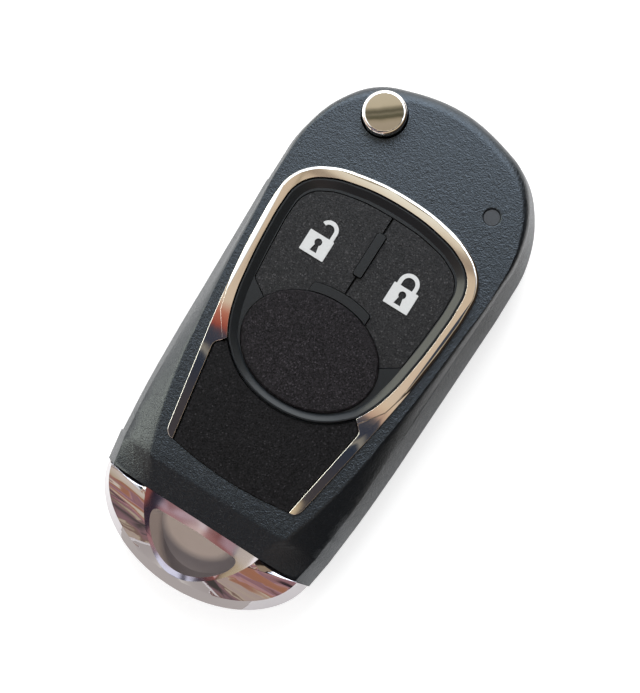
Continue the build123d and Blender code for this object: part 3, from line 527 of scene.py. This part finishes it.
def axis_value(tree, axis):
    """One coordinate of the card, in metres from its middle. On a card that faces down, its X
    runs against the key's X."""
    parts = tree.nodes.new("ShaderNodeSeparateXYZ")
    tree.links.new(object_place(tree), parts.inputs["Vector"])
    return parts.outputs[axis]


def wavy(tree, axis, size, reach):
    """A coordinate of the card, made uneven by a soft noise."""
    unevenness = noise_value(tree, object_place(tree), size, 2.0)
    return computed(tree, "MULTIPLY_ADD", unevenness, reach, axis_value(tree, axis))


def patches(tree, size, *stops):
    """Soft patches of colour with fairly clear edges."""
    return bands(tree, noise_value(tree, object_place(tree), size, 1.0, wander=0.6), WHOLE, *stops)


def seen_directly(tree):
    """1 for camera, glossy and transmission rays, 0 for the rays that light the object."""
    rays = tree.nodes.new("ShaderNodeLightPath").outputs
    seen = computed(tree, "MAXIMUM", rays["Is Camera Ray"], rays["Is Glossy Ray"])
    return computed(tree, "MAXIMUM", seen, rays["Is Transmission Ray"])


def spot_on(tree, x, y, half_width, half_height):
    """1 in the middle of an ellipse on the floor, falling to 0 at its edge. Lengths in mm."""
    fade = tree.nodes.new("ShaderNodeTexGradient")
    fade.gradient_type = "SPHERICAL"
    fit = tree.nodes.new("ShaderNodeMapping")
    fit.vector_type = "TEXTURE"
    fit.inputs["Location"].default_value = (x * MM, y * MM, 0.0)
    fit.inputs["Scale"].default_value = (half_width * MM, half_height * MM, 1.0)
    tree.links.new(object_place(tree), fit.inputs["Vector"])
    tree.links.new(fit.outputs["Vector"], fade.inputs["Vector"])
    return fade.outputs["Fac"]


# Spans that the coordinates of the cards are looked up in
WHOLE = (0.0, 1.0)
ROOM = (-0.6, 0.6)
OVERHEAD_ALONG = (-0.12, 0.12)
OVERHEAD_ACROSS = (-0.06, 0.06)
OVERHEAD_KNOB = (0.06, 0.14)
LAND_ACROSS = (-0.05, 0.05)
LAND_ALONG = (-0.04, 0.04)
SIDE_UP = (-0.1, 0.1)

# The paper under the key-ring hole has painted shade: a warm darker colour for the table in the
# key's shadow, with a painted lighter glow towards the case
FLOOR_SIZE = 6.0
PAPER_GLOW = 0.42
white = bpy.data.materials.new("white_paper")
white.use_nodes = True
tree = white.node_tree
paper = tree.nodes["Principled BSDF"].inputs
paper["Roughness"].default_value = 0.9
paper["Specular IOR Level"].default_value = 0.1
# Painted shade: inside an ellipse under the hole the paper is darker and warm, and its glow there
# is dimmed, with a painted light patch towards the case
painted_shade_spot = spot_on(tree, 0.0, -34.0, 9.5, 5.5)
painted_light_patch = bands(
    tree, spot_on(tree, -1.2, -31.3, 6.6, 4.6), WHOLE,
    (0.0, (0.1, 0.09, 0.1)), (0.22, (0.6, 0.48, 0.41)))
paper_with_painted_shade = bands(tree, painted_shade_spot, WHOLE, (0.05, grey(0.93)), (0.2, (0.42, 0.36, 0.33)))
inside = mask(tree, painted_shade_spot, WHOLE, (0.05, 0.0), (0.2, 1.0))
feed(tree, paper["Base Color"], paper_with_painted_shade)
feed(tree, paper["Emission Color"], mixed(tree, inside, grey(1.0), painted_light_patch))
feed(tree, paper["Emission Strength"], computed(tree, "MULTIPLY", seen_directly(tree), PAPER_GLOW))
sweep = grid_mesh("floor", FLOOR_SIZE, FLOOR_SIZE)
sweep.materials.append(white)
floor = bpy.data.objects.new("floor", sweep)
scene.collection.objects.link(floor)
floor.location.z = -0.1 * MM

# The room is white where it is seen, and gives less light than that
WORLD_LIGHT = 0.55
world = bpy.data.worlds.new("studio")
scene.world = world
world.use_nodes = True
tree = world.node_tree
background = tree.nodes["Background"].inputs
background["Color"].default_value = (1.0, 1.0, 1.0, 1.0)
feed(tree, background["Strength"], computed(
    tree, "MULTIPLY_ADD", seen_directly(tree), 1.0 - WORLD_LIGHT, WORLD_LIGHT))


def ceiling_colours(tree):
    """Bright towards the head, a strip on each side, dark over the lower face, and mixed colours
    beyond the cap."""
    head = bands(
        tree, wavy(tree, "Y", 0.2, 0.06), ROOM,
        (-0.1, (0.02, 0.022, 0.03)), (0.12, (0.05, 0.06, 0.08)),
        (0.27, (4.8, 5.4, 6.1)), (0.6, (5.2, 5.8, 6.4)))
    strips = bands(
        tree, axis_value(tree, "X"), ROOM,
        (-0.24, (0.1, 0.08, 0.07)), (-0.22, (0.7, 0.58, 0.46)), (-0.12, (0.8, 0.66, 0.52)),
        (-0.1, grey(0.0)), (0.09, grey(0.0)), (0.1, (1.3, 1.35, 1.35)), (0.27, (1.4, 1.5, 1.5)),
        (0.29, (0.12, 0.15, 0.16)))
    warm = patches(
        tree, 0.13,
        (0.36, (0.05, 0.04, 0.05)), (0.39, (0.6, 0.34, 0.33)), (0.44, (0.5, 0.28, 0.34)),
        (0.46, (0.85, 0.54, 0.55)), (0.5, (0.7, 0.33, 0.19)), (0.55, (0.65, 0.33, 0.22)),
        (0.57, (1.0, 0.88, 0.66)), (0.66, (1.2, 1.1, 0.95)))
    beyond_cap = mask(tree, axis_value(tree, "Y"), ROOM, (-0.15, 1.0), (-0.11, 0.0))
    middle = mask(
        tree, axis_value(tree, "X"), ROOM, (-0.14, 0.0), (-0.11, 1.0), (0.24, 1.0), (0.27, 0.0))
    far = mixed(tree, middle, warm, (0.06, 0.065, 0.08))
    return mixed(tree, beyond_cap, mixed(tree, 1.0, head, strips, blend="LIGHTEN"), far)


def land_colours(tree):
    """What the land round the key-ring hole mirrors from right to left, with a cold light at its
    foot."""
    across = bands(
        tree, wavy(tree, "X", 0.02, 0.008), LAND_ACROSS,
        (-0.023, (0.9, 0.75, 0.5)), (-0.0215, grey(3.0)), (-0.0195, (1.0, 0.85, 0.55)),
        (-0.0135, (0.8, 0.66, 0.42)), (-0.0125, (0.04, 0.03, 0.05)), (-0.0115, (0.6, 0.2, 0.17)),
        (-0.0065, (0.5, 0.17, 0.14)), (-0.001, (0.75, 0.42, 0.4)), (0.004, (1.3, 1.1, 1.0)),
        (0.01, (0.8, 0.48, 0.47)), (0.021, (0.7, 0.36, 0.37)), (0.0225, (0.04, 0.04, 0.07)),
        (0.027, (0.04, 0.04, 0.06)), (0.0285, (0.55, 0.17, 0.14)))
    foot = mask(
        tree, wavy(tree, "Y", 0.015, 0.004), LAND_ALONG,
        (-0.007, 1.0), (-0.004, 0.0), (0.0105, 0.0), (0.0125, 0.25))
    cold = patches(
        tree, 0.014,
        (0.42, (0.03, 0.035, 0.06)), (0.48, (0.2, 0.2, 0.25)), (0.51, (1.5, 1.6, 1.9)))
    return mixed(tree, foot, across, cold)


def end_colours(tree):
    """The far end of the room, low beyond the cap."""
    return patches(
        tree, 0.16,
        (0.36, (0.12, 0.11, 0.1)), (0.42, (0.35, 0.24, 0.25)), (0.46, (0.5, 0.31, 0.33)),
        (0.52, (0.4, 0.28, 0.22)), (0.56, (0.9, 0.78, 0.58)), (0.62, (0.8, 0.66, 0.58)))


def right_colours(tree):
    """Dark at the foot of the right side, golden above."""
    return bands(
        tree, axis_value(tree, "Y"), SIDE_UP,
        (-0.04, (0.03, 0.02, 0.015)), (-0.02, (0.6, 0.48, 0.33)))


def trim_colours(tree):
    """What the flat of the bead and of the legs mirrors, from the legs' feet to the bead's top."""
    along = wavy(tree, "Y", 0.03, 0.006)

    def down(nearer, further):
        """The whole length, with the two tones where a leg starts."""
        return bands(
            tree, along, OVERHEAD_ALONG,
            (-0.041, (0.05, 0.045, 0.05)), (-0.0225, (0.02, 0.03, 0.05)),
            (-0.0215, (0.3, 0.28, 0.24)), (-0.0195, (0.16, 0.15, 0.13)),
            (-0.0185, (0.03, 0.035, 0.055)), (-0.0115, (0.05, 0.055, 0.07)),
            (-0.0105, nearer), (-0.004, further), (-0.001, (0.62, 0.5, 0.38)),
            (0.054, (0.6, 0.48, 0.35)), (0.0555, (0.3, 0.23, 0.17)), (0.059, (0.34, 0.27, 0.2)),
            (0.0605, (0.66, 0.56, 0.42)), (0.066, (0.85, 0.82, 0.7)))

    on_left = mask(tree, axis_value(tree, "X"), OVERHEAD_ACROSS, (-0.005, 0.0), (0.005, 1.0))
    whole = mixed(
        tree, on_left, down((0.46, 0.3, 0.22), (0.64, 0.5, 0.36)),
        down((0.3, 0.06, 0.04), (0.45, 0.17, 0.11)))
    at_line = mask(
        tree, axis_value(tree, "X"), OVERHEAD_ACROSS,
        (0.0388, 0.0), (0.0392, 1.0), (0.0398, 1.0), (0.0402, 0.0))
    upper = mask(tree, axis_value(tree, "Y"), OVERHEAD_ALONG, (0.0, 0.0), (0.02, 1.0))
    olive_line = computed(tree, "MULTIPLY", at_line, upper)
    return along, mixed(tree, olive_line, whole, (0.22, 0.18, 0.11))


def overhead_colours(tree):
    """What the trim mirrors, two tones over the knob, and gold at the right leg's foot."""
    along, trim = trim_colours(tree)
    slanted = computed(
        tree, "MULTIPLY_ADD", axis_value(tree, "X"), 0.65, wavy(tree, "Y", 0.012, 0.004))
    over_knob = bands(
        tree, slanted, OVERHEAD_KNOB,
        (0.08, (0.22, 0.18, 0.13)), (0.1, (0.36, 0.3, 0.22)), (0.1015, (0.3, 0.25, 0.17)),
        (0.1025, (0.09, 0.08, 0.05)), (0.104, (0.12, 0.11, 0.07)), (0.1045, (0.24, 0.21, 0.15)),
        (0.1052, (0.12, 0.105, 0.07)), (0.1062, (0.1, 0.09, 0.06)), (0.1078, (0.3, 0.26, 0.18)),
        (0.1085, (0.5, 0.43, 0.31)), (0.13, (0.6, 0.54, 0.42)))
    knob_part = mask(tree, axis_value(tree, "Y"), OVERHEAD_ALONG, (0.071, 0.0), (0.073, 1.0))
    at_foot = mask(tree, along, OVERHEAD_ALONG, (-0.052, 1.0), (-0.05, 0.0))
    on_right = mask(
        tree, wavy(tree, "X", 0.02, 0.004), OVERHEAD_ACROSS,
        (-0.0245, 0.0), (-0.0235, 1.0), (-0.003, 1.0), (0.0, 0.0))
    gold = bands(
        tree, axis_value(tree, "X"), OVERHEAD_ACROSS,
        (-0.05, (0.55, 0.42, 0.27)), (-0.02, (0.62, 0.5, 0.33)))
    return mixed(
        tree, computed(tree, "MULTIPLY", at_foot, on_right),
        mixed(tree, knob_part, trim, over_knob), gold)


DOWN, UP = (0, 0, -1), (0, 0, 1)
card("ceiling", (0.0, 0.0, 0.36), DOWN, 1.2, 1.2, ceiling_colours)
card("overhead", (-0.033, 0.018, 0.35), DOWN, 0.11, 0.24, overhead_colours)
card("land_board", (-0.04, -0.217, 0.355), DOWN, 0.1, 0.07, land_colours)
card("room_end", (0.0, -0.6, 0.18), (0, 1, 0), 2.4, 0.48, end_colours)
card("right_side", (0.05, 0.1, 0.09), (-1, 0, 0.15), 0.32, 0.2, right_colours)
card("bright_side", (-0.5, 0.0, 0.16), (1, 0, 0), 0.5, 0.8, (1.0, 1.0, 0.85), 5.0)
card("cap_ground", (0.0, -0.09, 0.002), UP, 0.24, 0.096, (0.8, 0.76, 0.72))
card("right_ground", (0.075, 0.0325, 0.002), UP, 0.1, 0.105, (0.42, 0.4, 0.37))
card("head_side", (0.0, 0.6, 0.15), (0, -1, 0), 0.9, 0.28, (0.97, 1.0, 1.0), 3.0)


def lamp(name, place, size, power):
    """A square soft lamp that points at the key."""
    data = bpy.data.lights.new(name, "AREA")
    data.size = size
    data.energy = power
    light = bpy.data.objects.new(name, data)
    scene.collection.objects.link(light)
    light.location = place
    light.rotation_mode = "QUATERNION"
    light.rotation_quaternion = facing(place)


lamp("window", (-0.25, 0.45, 0.5), 0.4, 3.0)
lamp("fill", (0.4, -0.3, 0.5), 0.5, 1.0)

scene.view_settings.view_transform = "Standard"
